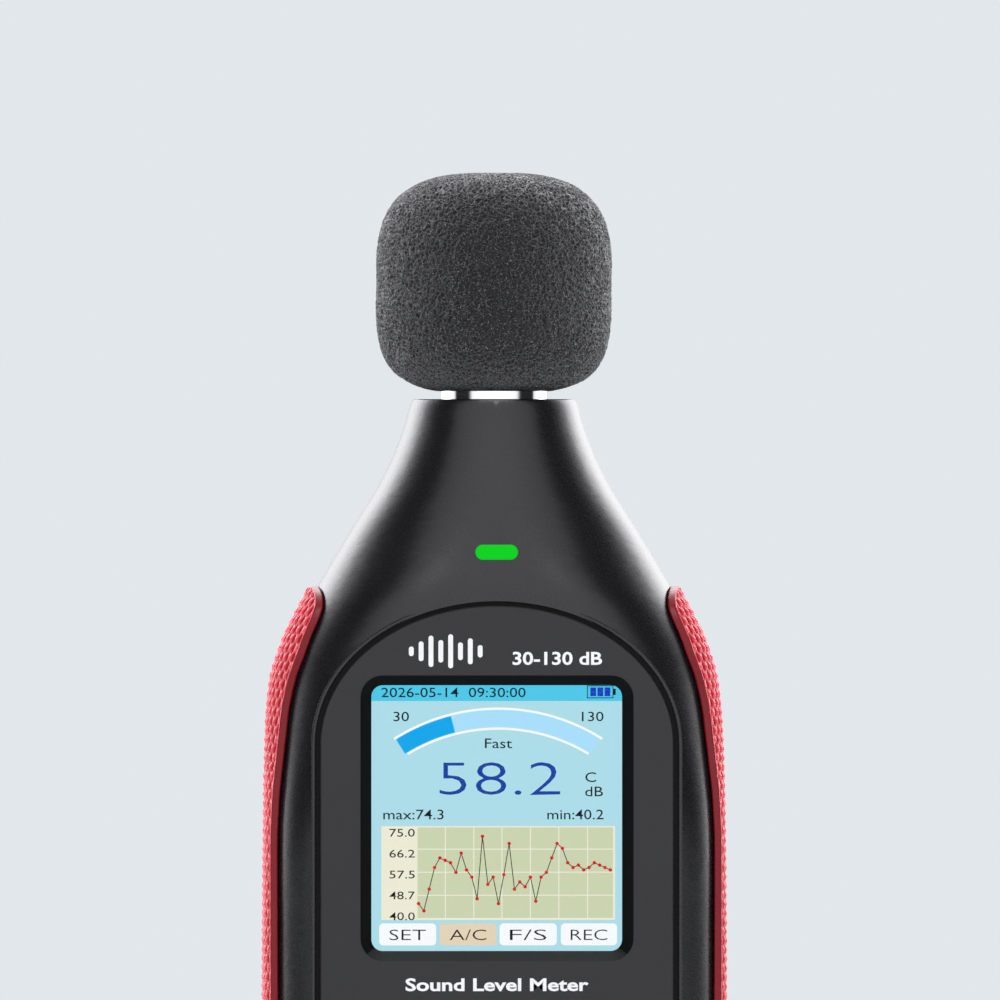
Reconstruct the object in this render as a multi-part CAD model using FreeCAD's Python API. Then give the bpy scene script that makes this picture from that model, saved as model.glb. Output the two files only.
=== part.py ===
import FreeCAD, Part
import math
import os

V = FreeCAD.Vector
PI = math.pi

# Hand-held sound level meter. Millimetres, +Z up, front faces -Y, origin at the bottom centre.

# body form
BODY_HEIGHT = 166.4
HALF_WIDTH = [(0, 30.4), (20, 31.4), (45, 32.5), (77, 33.0), (107, 32.8), (119, 32.5), (125, 31.9),
              (131, 30.1), (137, 27.1), (142.6, 23.9), (148.5, 20.3), (154.4, 16.7), (160.4, 14.0),
              (166.4, 12.15)]
FRONT_DEPTH = [(0, 16.5), (137, 16.5), (142.6, 15.85), (148.5, 15.0), (154.4, 14.1), (160.4, 13.2),
               (166.4, 12.4)]
BACK_DEPTH = [(0, 16.5), (120, 16.5), (137, 16.0), (148.5, 14.8), (160.4, 13.0), (166.4, 12.2)]
FRONT_FLAT = [(0, 21.5), (20, 22.9), (45, 23.4), (100, 23.4), (107, 22.4), (113, 20.0), (119, 17.0),
              (125, 15.0), (131, 13.0), (137, 8.5), (142.6, 3.5), (148.5, 1.0), (166.4, 0.5)]
BACK_FLAT = [(0, 23.5), (20, 24.0), (90, 24.0), (110, 22.0), (125, 16.0), (137, 6.0), (148.5, 1.5),
             (166.4, 0.5)]
FRONT_BEND = [(0, 9.0), (20, 9.4), (100, 9.4), (107, 10.2), (113, 12.0), (119, 14.0), (125, 15.6),
              (137, 15.8), (142.6, 15.3), (148.5, 14.6), (154.4, 13.8), (160.4, 12.9), (166.4, 12.1)]
BACK_BEND = [(0, 10.5), (20, 11.0), (120, 11.0), (137, 14.5), (148.5, 14.3), (160.4, 12.6), (166.4, 11.9)]
MIN_CORNER = 4.5
BASE_RADIUS = 5.0
NECK_EDGE = 0.25
SIDE_WALL = 2.2
FRONT_WALL = 2.8
FLOOR_WALL = 2.4
CAVITY_TOP = 150.0

# panel, display and light
PANEL_HALF = 26.1
PANEL_RISE = 20.35
PANEL_SPRING = 115.6
PANEL_BOTTOM = 20.0
PANEL_CORNER = 13.0
PANEL_GAP = 0.65
PANEL_THICK = 1.6
PANEL_CHAMFER = 0.2
LIP_WIDTH = 0.6
LIP_DROP = 0.05
LIP_CHAMFER = 0.16
FACE_Y = -16.5
PANEL_BACK_Y = FACE_Y + PANEL_THICK
INNER_FACE_Y = FACE_Y + FRONT_WALL
DISPLAY_Z = 104.6
RECESS_WIDTH = 40.3
RECESS_HEIGHT = 42.1
RECESS_RADIUS = 3.3
VIEW_WIDTH = 37.0
VIEW_HEIGHT = 39.2
VIEW_RADIUS = 1.7
WINDOW_WIDTH = 39.4
WINDOW_HEIGHT = 41.6
ADHESIVE = 0.2
WINDOW_THICK = 1.0
LCD_Z = 102.7
LCD_WIDTH = 42.7
LCD_HEIGHT = 47.6
LCD_FRONT_Y = -13.55
LCD_BACK_Y = -11.55
LIGHT_BACK_Y = -9.0
LED_Z = 143.8
LED_WIDTH = 6.2
LED_HEIGHT = 2.1

# keys
SOFT_KEY_X = [-14.4, -4.8, 4.8, 14.4]
SOFT_KEY_NAMES = ["set_key", "weighting_key", "response_key", "record_key"]
SOFT_KEY_Z = 68.5
SOFT_KEY_WIDTH = 7.6
SOFT_KEY_HEIGHT = 5.4
ROUND_KEY_X = [-10.5, 10.5]
ROUND_KEY_NAMES = ["power_key", "hold_key"]
ROUND_KEY_Z = 49.0
ROUND_KEY_DIAMETER = 11.0
KEY_CLEAR = 0.3
KEY_TOP_Y = -17.9
KEY_FLANGE = 0.8
KEY_STEM_Y = -9.3
PLUNGER_RADIUS = 1.7
PLUNGER_END_Y = -7.75
SWITCH_SIDE = 6.0
SWITCH_TOP_Y = -8.5

# boards
BOARD_FRONT_Y = -7.0
BOARD_BACK_Y = -5.4
BOARD_OUTLINE = [(23, 14), (23, 110), (15, 128), (11, 147)]
BOARD_SCREW_SPOTS = [(19.5, 30.0), (19.5, 76.0), (9.5, 140.5)]
POST_RADIUS = 2.2
BOARD_SCREW_RADIUS = 0.95
BOARD_HEAD_RADIUS = 2.1

# case screws
CASE_SCREW_SPOTS = [(21.0, 8.5), (25.2, 122.0)]
BOSS_RADIUS = 2.8
HEAD_BOSS_RADIUS = 3.7
CASE_SCREW_RADIUS = 1.35
CASE_HEAD_RADIUS = 2.6
CASE_HEAD_HEIGHT = 2.0
CASE_SEAT_Y = 7.0
SCREW_PLAY = 0.08

# batteries, tray and door
CELL_RADIUS = 7.15
CELL_PITCH = 14.6
CELL_Y = 6.3
CELL_LENGTH = 49.5
NUB_RADIUS = 2.75
NUB_HEIGHT = 1.0
CONTACT_SIDE = 9.0
CONTACT_THICK = 0.4
SPRING_WIDTH = 6.0
SPRING_REACH = 3.2
SPRING_THICK = 0.45
TRAY_HALF = 23.1
TRAY_BOTTOM = 14.6
TRAY_TOP = 75.4
TRAY_FLOOR_Y = -2.4
TRAY_RIM_Y = 13.9
TRAY_WALL = 1.0
RIB_DROP = 1.5
DOOR_HALF = 23.2
DOOR_TOP = 76.4
DOOR_GAP = 0.25
DOOR_THICK = 2.2
HINGE_Y = 15.4
HINGE_Z = 15.0
HINGE_RADIUS = 1.1
HINGE_SWEEP = 1.4
PIN_RADIUS = 0.5
PIN_PLAY = 0.06
PIN_OVERHANG = 2.0

# grips
GRIP_THICK = 1.4
GRIP_BOTTOM = 12.0
GRIP_FRONT_EDGE = [(-11.6, 79.0), (-11.0, 107.0), (-9.4, 121.9), (-9.9, 129.3), (-8.8, 135.9),
                   (-3.5, 138.7), (4.0, 137.2), (9.5, 131.5), (11.2, 120.0), (11.2, 79.0)]
GRIP_LOWER_RADIUS = 7.0

# microphone and windscreen
TUBE_RADIUS = 7.8
TUBE_BORE = 6.7
TUBE_TOP = 184.0
TUBE_FOOT = 153.0
FOOT_RADIUS = 9.0
FOOT_HEIGHT = 2.0
GRID_TOP = 188.0
CAPSULE_RADIUS = 5.6
CAPSULE_BOTTOM = 171.0
CAPSULE_TOP = 184.6
PREAMP_Z = 165.6
FOAM_BOTTOM = 167.4
FOAM_TOP = 200.0
FOAM_RADIUS = 17.6
FOAM_UPPER_POWER = 3.05
FOAM_LOWER_POWER = 4.0
FOAM_BORE = 7.9
FOAM_BORE_TOP = 189.0

# tripod bush
TRIPOD_Z = 100.0
TRIPOD_RADIUS = 4.6
TRIPOD_BORE = 2.6
TRIPOD_DEPTH = 9.0
TRIPOD_BORE_DEPTH = 8.0


def steady(stations):
    """Smooth curve through the stations that never overshoots them."""
    zs = [s[0] for s in stations]
    vs = [s[1] for s in stations]
    count = len(zs)
    rise = [(vs[i + 1] - vs[i]) / (zs[i + 1] - zs[i]) for i in range(count - 1)]
    slopes = [rise[0]]
    for i in range(1, count - 1):
        turns = rise[i - 1] * rise[i] <= 0
        slopes.append(0.0 if turns else 2 * rise[i - 1] * rise[i] / (rise[i - 1] + rise[i]))
    slopes.append(rise[-1])

    def value(z):
        z = min(max(z, zs[0]), zs[-1])
        i = max(k for k in range(count - 1) if zs[k] <= z)
        step = zs[i + 1] - zs[i]
        t = (z - zs[i]) / step
        near = (1 + 2 * t) * (1 - t) ** 2 * vs[i] + t * (1 - t) ** 2 * step * slopes[i]
        far = t * t * (3 - 2 * t) * vs[i + 1] + t * t * (t - 1) * step * slopes[i + 1]
        return near + far

    return value


half_width = steady(HALF_WIDTH)
front_depth = steady(FRONT_DEPTH)
back_depth = steady(BACK_DEPTH)
front_flat = steady(FRONT_FLAT)
back_flat = steady(BACK_FLAT)
front_bend = steady(FRONT_BEND)
back_bend = steady(BACK_BEND)


def end_rounding(z):
    if z < BASE_RADIUS:
        return BASE_RADIUS - math.sqrt(BASE_RADIUS ** 2 - (BASE_RADIUS - z) ** 2)
    if z > BODY_HEIGHT - NECK_EDGE:
        rest = z - (BODY_HEIGHT - NECK_EDGE)
        return NECK_EDGE - math.sqrt(max(NECK_EDGE ** 2 - rest ** 2, 0.0))
    return 0.0


def quarter(centre, wide, deep, start):
    """A quarter of a level ellipse about the centre, from angle start round by 90 degrees."""
    end = start + PI / 2
    a = centre + V(wide * math.cos(start), deep * math.sin(start), 0)
    b = centre + V(wide * math.cos(end), deep * math.sin(end), 0)
    curve = Part.BSplineCurve()
    weights = [1.0, math.sqrt(0.5), 1.0]
    curve.buildFromPolesMultsKnots([a, a + b - centre, b], [3, 3], [0.0, 1.0], False, 2, weights)
    return curve.toShape()


def section(z, side, front, back):
    """Body outline at height z, moved in by side, front and back (negative moves it out)."""
    trim = end_rounding(z)
    wide = half_width(z) - trim
    flat_f = min(front_flat(z), wide - MIN_CORNER)
    flat_b = min(back_flat(z), wide - MIN_CORNER)
    wide = wide - side
    bend_f = front_bend(z) - trim - front
    bend_b = back_bend(z) - trim - back
    turn_f = front_bend(z) - front_depth(z)
    turn_b = back_depth(z) - back_bend(z)
    top_f = turn_f - bend_f
    top_b = turn_b + bend_b
    edges = [Part.makeLine(V(-flat_f, top_f, z), V(flat_f, top_f, z)),
             quarter(V(flat_f, turn_f, z), wide - flat_f, bend_f, -PI / 2),
             Part.makeLine(V(wide, turn_f, z), V(wide, turn_b, z)),
             quarter(V(flat_b, turn_b, z), wide - flat_b, bend_b, 0),
             Part.makeLine(V(flat_b, top_b, z), V(-flat_b, top_b, z)),
             quarter(V(-flat_b, turn_b, z), wide - flat_b, bend_b, PI / 2),
             Part.makeLine(V(-wide, turn_b, z), V(-wide, turn_f, z)),
             quarter(V(-flat_f, turn_f, z), wide - flat_f, bend_f, PI)]
    return Part.Wire(edges)


def heights(low, high):
    """Section heights between low and high, closer together where the form turns."""
    marks = [0, 0.15, 0.5, 1.1, 2.0, 3.2, 5, 8, 12, 20, 30, 45, 60, 77, 92, 107, 113, 119, 122, 125,
             128, 131, 134, 137, 140, 143, 146, 149, 152, 155, 158, 161, 164, 166.15, 166.25,
             166.34, 166.4]
    return [low] + [m for m in marks if low + 0.05 < m < high - 0.05] + [high]


def form(low, high, side, front, back):
    wires = [section(z, side, front, back) for z in heights(low, high)]
    return Part.makeLoft(wires, True, False, False)


def box(x0, x1, y0, y1, z0, z1):
    return Part.makeBox(x1 - x0, y1 - y0, z1 - z0, V(x0, y0, z0))


def rod(x, z, radius, y0, y1):
    """Cylinder lying along Y."""
    return Part.makeCylinder(radius, y1 - y0, V(x, y0, z), V(0, 1, 0))


def post(x, y, radius, z0, z1):
    """Cylinder standing along Z."""
    return Part.makeCylinder(radius, z1 - z0, V(x, y, z0), V(0, 0, 1))


def arc(a, b, c):
    return Part.Arc(a, b, c).toShape()


def rounded_wire(x, z, width, height, radius, y):
    """Rounded rectangle in the plane at y."""
    w = width / 2 - radius
    h = height / 2 - radius
    c = radius * math.cos(PI / 4)
    p = lambda dx, dz: V(x + dx, y, z + dz)
    edges = []
    for sx, sz in [(1, 1), (-1, 1), (-1, -1), (1, -1)]:
        start = p(sx * w + (radius if sx * sz > 0 else 0) * sx, sz * h + (0 if sx * sz > 0 else radius) * sz)
        end = p(sx * w + (0 if sx * sz > 0 else radius) * sx, sz * h + (radius if sx * sz > 0 else 0) * sz)
        edges.append(arc(start, p(sx * (w + c), sz * (h + c)), end))
    joined = []
    for i in range(4):
        joined.append(edges[i])
        a = edges[i].Vertexes[-1].Point
        b = edges[(i + 1) % 4].Vertexes[0].Point
        if a.distanceToPoint(b) > 1e-6:
            joined.append(Part.makeLine(a, b))
    return Part.Wire(joined)


def rounded(x, z, width, height, radius, y0, y1):
    """Rounded block from y0 back to y1."""
    face = Part.Face(rounded_wire(x, z, width, height, radius, y0))
    return face.extrude(V(0, y1 - y0, 0))


def joined(shapes):
    whole = shapes[0]
    for shape in shapes[1:]:
        whole = whole.fuse(shape)
    return whole.removeSplitter()


def cut_all(shape, tools):
    for tool in tools:
        shape = shape.cut(tool)
    return shape


def mirrored(shape):
    return shape.mirror(V(0, 0, 0), V(1, 0, 0))


def both_sides(spots):
    return [(s * x, z) for x, z in spots for s in (-1, 1)]


def save(name, shape):
    shape.exportStep(os.path.join("parts", name + ".step"))


def key_spots():
    soft = [(x, SOFT_KEY_Z, SOFT_KEY_WIDTH, SOFT_KEY_HEIGHT) for x in SOFT_KEY_X]
    size = ROUND_KEY_DIAMETER
    return soft + [(x, ROUND_KEY_Z, size, size) for x in ROUND_KEY_X]


def key_radius(width, height):
    return height / 2 - 0.01


def key_block(spot, grow, y0, y1):
    x, z, width, height = spot
    radius = key_radius(width, height) + grow
    return rounded(x, z, width + 2 * grow, height + 2 * grow, radius, y0, y1)


def panel_wire(grow, y):
    """Arched outline: half ellipse above straight sides and rounded lower corners."""
    wide = PANEL_HALF + grow
    rise = PANEL_RISE + grow
    low = PANEL_BOTTOM - grow
    r = PANEL_CORNER + grow
    c = r * (1 - math.cos(PI / 4))
    top = PANEL_SPRING
    ellipse = Part.Ellipse(V(wide, y, top), V(0, y, top + rise), V(0, y, top))
    arch = Part.ArcOfEllipse(ellipse, 0, PI).toShape()
    left = Part.makeLine(V(-wide, y, top), V(-wide, y, low + r))
    left_arc = arc(V(-wide, y, low + r), V(-wide + c, y, low + c), V(-wide + r, y, low))
    base = Part.makeLine(V(-wide + r, y, low), V(wide - r, y, low))
    right_arc = arc(V(wide - r, y, low), V(wide - c, y, low + c), V(wide, y, low + r))
    right = Part.makeLine(V(wide, y, low + r), V(wide, y, top))
    return Part.Wire([arch, left, left_arc, base, right_arc, right])


def panel_block(grow, y0, y1):
    return Part.Face(panel_wire(grow, y0)).extrude(V(0, y1 - y0, 0))


def display_well():
    wires = [rounded_wire(0, DISPLAY_Z, RECESS_WIDTH, RECESS_HEIGHT, RECESS_RADIUS, FACE_Y),
             rounded_wire(0, DISPLAY_Z, VIEW_WIDTH, VIEW_HEIGHT, VIEW_RADIUS, PANEL_BACK_Y)]
    return Part.makeLoft(wires, True, True, False)


def faceplate():
    plate = panel_block(0, FACE_Y, PANEL_BACK_Y)
    rim = [e for e in plate.Edges if abs(e.BoundBox.YMin - FACE_Y) < 1e-6
           and abs(e.BoundBox.YMax - FACE_Y) < 1e-6]
    plate = plate.makeChamfer(PANEL_CHAMFER, rim)
    keys = [key_block(s, KEY_CLEAR, FACE_Y - 1, PANEL_BACK_Y + 1) for s in key_spots()]
    return cut_all(plate, [display_well()] + keys)


def panel_lip():
    """Raised bead of the shell around the panel."""
    block = panel_block(PANEL_GAP + LIP_WIDTH, FACE_Y + LIP_DROP, PANEL_BACK_Y + 0.6)
    ring = block.cut(panel_block(PANEL_GAP, FACE_Y - 5, PANEL_BACK_Y + 5))
    top = [e for e in ring.Edges if abs(e.BoundBox.YMax - FACE_Y - LIP_DROP) < 1e-6]
    return ring.makeChamfer(LIP_CHAMFER, top)


def case_bosses(outer):
    """Front bosses that take the case screws, and posts that carry the main board."""
    shapes = []
    for x, z in both_sides(CASE_SCREW_SPOTS):
        shapes.append(rod(x, z, BOSS_RADIUS, INNER_FACE_Y - 1.0, 0))
    for x, z in both_sides(BOARD_SCREW_SPOTS):
        shapes.append(rod(x, z, POST_RADIUS, INNER_FACE_Y - 0.8, BOARD_FRONT_Y))
    return [s.common(outer) for s in shapes]


def neck_bores():
    upper = post(0, 0, TUBE_RADIUS + 0.02, TUBE_FOOT, BODY_HEIGHT + 1)
    lower = post(0, 0, FOOT_RADIUS + 0.1, CAVITY_TOP - 1, TUBE_FOOT + FOOT_HEIGHT)
    return [upper, lower]


def front_openings():
    window = rounded(0, DISPLAY_Z, WINDOW_WIDTH + 0.4, WINDOW_HEIGHT + 0.4, 1.0,
                     FACE_Y, INNER_FACE_Y + 1)
    keys = [key_block(s, KEY_CLEAR, FACE_Y - 1, INNER_FACE_Y + 1) for s in key_spots()]
    light = rounded(0, LED_Z, LED_WIDTH + 0.1, LED_HEIGHT + 0.1, LED_HEIGHT / 2 + 0.04, -20, -10)
    return [window, light] + keys


def front_shell(outer, hollow):
    half = outer.common(box(-40, 40, -30, 0, -5, BODY_HEIGHT + 5)).cut(hollow)
    half = joined([half, panel_lip()] + case_bosses(outer))
    half = half.cut(panel_block(PANEL_GAP, FACE_Y - 5, PANEL_BACK_Y))
    half = half.cut(rounded(0, LCD_Z, LCD_WIDTH + 0.4, LCD_HEIGHT + 0.4, 0.6, LCD_FRONT_Y - 0.1, -6))
    bores = [rod(x, z, CASE_SCREW_RADIUS + SCREW_PLAY, -9.0, 1) for x, z in both_sides(CASE_SCREW_SPOTS)]
    for x, z in both_sides(BOARD_SCREW_SPOTS):
        bores.append(rod(x, z, BOARD_SCREW_RADIUS + SCREW_PLAY, -12.0, BOARD_FRONT_Y + 1))
    return cut_all(half, bores + neck_bores() + front_openings())


def door_opening():
    span = DOOR_HALF + DOOR_GAP
    return box(-span, span, 11.0, 20, HINGE_Z - HINGE_SWEEP, DOOR_TOP + DOOR_GAP)


def pin_bore():
    span = DOOR_HALF + PIN_OVERHANG + 0.2
    return Part.makeCylinder(PIN_RADIUS + 0.02, 2 * span, V(-span, HINGE_Y, HINGE_Z), V(1, 0, 0))


def back_shell(outer, hollow):
    half = outer.common(box(-40, 40, 0, 30, -5, BODY_HEIGHT + 5)).cut(hollow)
    bosses = [rod(x, z, HEAD_BOSS_RADIUS, 0, 15).common(outer) for x, z in both_sides(CASE_SCREW_SPOTS)]
    hub = rod(0, TRIPOD_Z, TRIPOD_RADIUS + 2.0, 16.5 - TRIPOD_DEPTH - 1.5, 15)
    lugs = [box(s * (DOOR_HALF + 1.6) - 1.3, s * (DOOR_HALF + 1.6) + 1.3, 12.5, 15.5, 12, 18)
            for s in (-1, 1)]
    half = joined([half, hub] + bosses + [lug.common(outer) for lug in lugs])
    bores = []
    for x, z in both_sides(CASE_SCREW_SPOTS):
        bores.append(rod(x, z, CASE_SCREW_RADIUS + 0.3, -1, CASE_SEAT_Y + 1))
        bores.append(rod(x, z, CASE_HEAD_RADIUS + 0.2, CASE_SEAT_Y, 20))
    bush = rod(0, TRIPOD_Z, TRIPOD_RADIUS, 16.5 - TRIPOD_DEPTH, 20)
    return cut_all(half, bores + neck_bores() + [bush, door_opening(), pin_bore()])


def grip_profile():
    """Side view of the grip: a swelling upper end, a straight run and a rounded foot."""
    curve = Part.BSplineCurve()
    points = [V(0, y, z) for y, z in GRIP_FRONT_EDGE]
    curve.interpolate(Points=points, InitialTangent=V(0, -0.02, 1).normalize(),
                      FinalTangent=V(0, 0, -1))
    front_y, top_z = GRIP_FRONT_EDGE[0]
    back_y = GRIP_FRONT_EDGE[-1][0]
    r = GRIP_LOWER_RADIUS
    c = r * (1 - math.cos(PI / 4))
    low = GRIP_BOTTOM
    edges = [curve.toShape(),
             Part.makeLine(V(0, back_y, top_z), V(0, back_y, low + r)),
             arc(V(0, back_y, low + r), V(0, back_y - c, low + c), V(0, back_y - r, low)),
             Part.makeLine(V(0, back_y - r, low), V(0, front_y + r, low)),
             arc(V(0, front_y + r, low), V(0, front_y + c, low + c), V(0, front_y, low + r)),
             Part.makeLine(V(0, front_y, low + r), V(0, front_y, top_z))]
    return Part.Face(Part.Wire(edges)).extrude(V(40, 0, 0))


def right_grip(outer):
    swollen = form(GRIP_BOTTOM - 4, 143.0, -GRIP_THICK, -GRIP_THICK, -GRIP_THICK)
    return grip_profile().common(swollen).cut(outer)


def window_adhesive():
    y1 = PANEL_BACK_Y + ADHESIVE
    ring = rounded(0, DISPLAY_Z, WINDOW_WIDTH, WINDOW_HEIGHT, 1.0, PANEL_BACK_Y, y1)
    return ring.cut(rounded(0, DISPLAY_Z, VIEW_WIDTH + 0.2, VIEW_HEIGHT + 0.2, 1.7,
                            PANEL_BACK_Y - 1, y1 + 1))


def lcd_window():
    y0 = PANEL_BACK_Y + ADHESIVE
    return rounded(0, DISPLAY_Z, WINDOW_WIDTH, WINDOW_HEIGHT, 1.0, y0, y0 + WINDOW_THICK)


def lcd_panel():
    return rounded(0, LCD_Z, LCD_WIDTH, LCD_HEIGHT, 0.5, LCD_FRONT_Y, LCD_BACK_Y)


def lcd_backlight():
    tray = rounded(0, LCD_Z, LCD_WIDTH, LCD_HEIGHT, 0.5, LCD_BACK_Y, LIGHT_BACK_Y)
    ears = [box(s * 21.9 - 0.6, s * 21.9 + 0.6, LCD_BACK_Y - 1.5, LIGHT_BACK_Y, z - 2, z + 2)
            for s in (-1, 1) for z in (90, 112)]
    slot = box(-21.35, 21.35, LCD_FRONT_Y - 1, LCD_BACK_Y, 70, 140)
    return joined([tray] + [e.cut(slot) for e in ears])


def lcd_cushion():
    ring = rounded(0, LCD_Z, LCD_WIDTH - 2, LCD_HEIGHT - 2, 1.0, LIGHT_BACK_Y, BOARD_FRONT_Y)
    hole = rounded(0, LCD_Z, LCD_WIDTH - 7, LCD_HEIGHT - 7, 1.0, LIGHT_BACK_Y - 1, BOARD_FRONT_Y + 1)
    return ring.cut(hole).cut(box(-25, -14.5, -12, -5, 112, 135)).cut(box(14.5, 25, -12, -5, 112, 135))


def lcd_flex():
    low = LCD_Z - LCD_HEIGHT / 2
    shelf = box(-9, 9, LCD_BACK_Y + 0.2, -7.9, low - 0.5, low - 0.2)
    drop = box(-9, 9, -8.2, -7.9, 74.2, low - 0.2)
    root = box(-9, 9, LCD_BACK_Y + 0.2, LCD_BACK_Y + 0.5, low - 0.5, low)
    return joined([shelf, drop, root])


def lcd_connector():
    body = box(-10.5, 10.5, -8.8, BOARD_FRONT_Y, 73.2, 76.2)
    return body.cut(box(-9.1, 9.1, -8.3, -7.8, 74.0, 77))


def light_pipe():
    lens = rounded(0, LED_Z, LED_WIDTH, LED_HEIGHT, LED_HEIGHT / 2 - 0.01, -15.85, -8.2)
    rim = [e for e in lens.Edges if abs(e.BoundBox.YMax + 15.85) < 1e-6]
    lens = lens.makeFillet(0.3, rim)
    collar = rounded(0, LED_Z, LED_WIDTH + 1.8, LED_HEIGHT + 1.8, LED_HEIGHT / 2 + 0.8, -12.4, -11.2)
    return joined([lens, collar])


def main_board():
    right = [V(x, BOARD_FRONT_Y, z) for x, z in BOARD_OUTLINE]
    left = [V(-p.x, p.y, p.z) for p in reversed(right)]
    outline = Part.makePolygon(right + left + [right[0]])
    board = Part.Face(outline).extrude(V(0, BOARD_BACK_Y - BOARD_FRONT_Y, 0))
    holes = [rod(x, z, BOARD_SCREW_RADIUS + 0.15, -8, -4) for x, z in both_sides(BOARD_SCREW_SPOTS)]
    return cut_all(board, holes)


def screw(x, z, seat, tip, radius, head_radius, head_height):
    """Pan-head screw pointing to the front, with a cross recess in its head."""
    shaft = rod(x, z, radius, tip, seat)
    head = rod(x, z, head_radius, seat, seat + head_height)
    top = [e for e in head.Edges if abs(e.BoundBox.YMin - seat - head_height) < 1e-6]
    head = head.makeFillet(head_height * 0.4, top)
    arm = head_radius * 0.62
    half = head_radius * 0.14
    deep = seat + head_height * 0.45
    cross = [box(x - arm, x + arm, deep, seat + 5, z - half, z + half),
             box(x - half, x + half, deep, seat + 5, z - arm, z + arm)]
    return cut_all(joined([shaft, head]), cross)


def case_screws():
    return Part.makeCompound([screw(x, z, CASE_SEAT_Y, -8.0, CASE_SCREW_RADIUS, CASE_HEAD_RADIUS,
                                    CASE_HEAD_HEIGHT) for x, z in both_sides(CASE_SCREW_SPOTS)])


def board_screws():
    return Part.makeCompound([screw(x, z, BOARD_BACK_Y, -11.4, BOARD_SCREW_RADIUS, BOARD_HEAD_RADIUS,
                                    1.3) for x, z in both_sides(BOARD_SCREW_SPOTS)])


def key_cap(spot):
    cap = key_block(spot, 0, KEY_TOP_Y, INNER_FACE_Y + 0.05)
    crown = [e for e in cap.Edges if abs(e.BoundBox.YMax - KEY_TOP_Y) < 1e-6]
    cap = cap.makeFillet(0.6, crown)
    flange = key_block(spot, KEY_FLANGE, INNER_FACE_Y + 0.05, INNER_FACE_Y + 1.05)
    stem = rod(spot[0], spot[1], PLUNGER_RADIUS, INNER_FACE_Y + 1.05, KEY_STEM_Y)
    return joined([cap, flange, stem])


def key_plunger(spot):
    return rod(spot[0], spot[1], PLUNGER_RADIUS, KEY_STEM_Y, PLUNGER_END_Y)


def switch_housings():
    half = SWITCH_SIDE / 2
    shapes = []
    for x, z, width, height in key_spots():
        body = box(x - half, x + half, SWITCH_TOP_Y, BOARD_FRONT_Y, z - half, z + half)
        shapes.append(body.cut(rod(x, z, PLUNGER_RADIUS + 0.1, SWITCH_TOP_Y - 1, -7.1)))
    return Part.makeCompound(shapes)


def chip(x, z, width, height, thick):
    return box(x - width / 2, x + width / 2, BOARD_BACK_Y, BOARD_BACK_Y + thick, z - height / 2,
               z + height / 2)


def rtc_cell():
    return rod(10.5, 91.0, 6.25, BOARD_BACK_Y + 0.3, BOARD_BACK_Y + 2.3)


def rtc_holder():
    base = rod(10.5, 91.0, 7.1, BOARD_BACK_Y, BOARD_BACK_Y + 1.6)
    well = rod(10.5, 91.0, 6.35, BOARD_BACK_Y + 0.3, BOARD_BACK_Y + 5)
    clip = box(7.5, 13.5, BOARD_BACK_Y + 2.35, BOARD_BACK_Y + 2.65, 91.0, 99.0)
    leg = box(7.5, 13.5, BOARD_BACK_Y, BOARD_BACK_Y + 2.65, 98.7, 99.0)
    return [base.cut(well), joined([clip, leg])]


def capacitors():
    spots = [(-17, 92), (-17, 100), (-17, 108)]
    return Part.makeCompound([rod(x, z, 2.5, BOARD_BACK_Y, BOARD_BACK_Y + 5.5) for x, z in spots])


def mic_tube():
    tube = post(0, 0, TUBE_RADIUS, TUBE_FOOT, TUBE_TOP)
    foot = post(0, 0, FOOT_RADIUS, TUBE_FOOT, TUBE_FOOT + FOOT_HEIGHT)
    return joined([tube, foot]).cut(post(0, 0, TUBE_BORE, TUBE_FOOT - 1, TUBE_TOP + 1))


def mic_nut():
    nut = post(0, 0, FOOT_RADIUS, CAVITY_TOP + 0.2, TUBE_FOOT)
    return nut.cut(post(0, 0, TUBE_BORE, CAVITY_TOP - 1, TUBE_FOOT + 1))


def mic_grid():
    """Cap over the capsule, slotted so that sound gets in."""
    cap = post(0, 0, TUBE_RADIUS, TUBE_TOP, GRID_TOP)
    rim = [e for e in cap.Edges if abs(e.BoundBox.ZMin - GRID_TOP) < 1e-6]
    cap = cap.makeFillet(0.8, rim)
    cap = cap.cut(post(0, 0, TUBE_BORE, TUBE_TOP - 1, GRID_TOP - 0.8))
    slots = []
    for k in range(5):
        offset = -4.4 + 2.2 * k
        reach = math.sqrt(6.0 ** 2 - offset ** 2)
        slots.append(box(offset - 0.5, offset + 0.5, -reach, reach, GRID_TOP - 2, GRID_TOP + 1))
    return cut_all(cap, slots)


def mic_capsule():
    body = post(0, 0, CAPSULE_RADIUS, CAPSULE_BOTTOM, CAPSULE_TOP)
    return body.cut(post(0, 0, CAPSULE_RADIUS - 0.6, CAPSULE_TOP - 0.5, CAPSULE_TOP + 1))


def mic_sleeve():
    sleeve = post(0, 0, TUBE_BORE - 0.02, CAPSULE_BOTTOM + 1, CAPSULE_TOP - 1.5)
    return sleeve.cut(post(0, 0, CAPSULE_RADIUS + 0.02, CAPSULE_BOTTOM, CAPSULE_TOP))


def mic_board():
    return post(0, 0, TUBE_BORE - 0.1, PREAMP_Z, PREAMP_Z + 1.2)


def mic_preamp_chip():
    return box(-2.2, 2.2, -1.2, 2.4, PREAMP_Z - 1.1, PREAMP_Z)


def mic_contact():
    return post(0, 0, 1.0, PREAMP_Z + 1.2, CAPSULE_BOTTOM)


def mic_flex():
    return box(-3, 3, -4.0, -3.8, 144.4, PREAMP_Z)


def mic_connector():
    body = box(-4.2, 4.2, BOARD_BACK_Y, -3.4, 141.8, 145.2)
    return body.cut(box(-3.1, 3.1, -4.1, -3.7, 144.2, 146))


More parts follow.
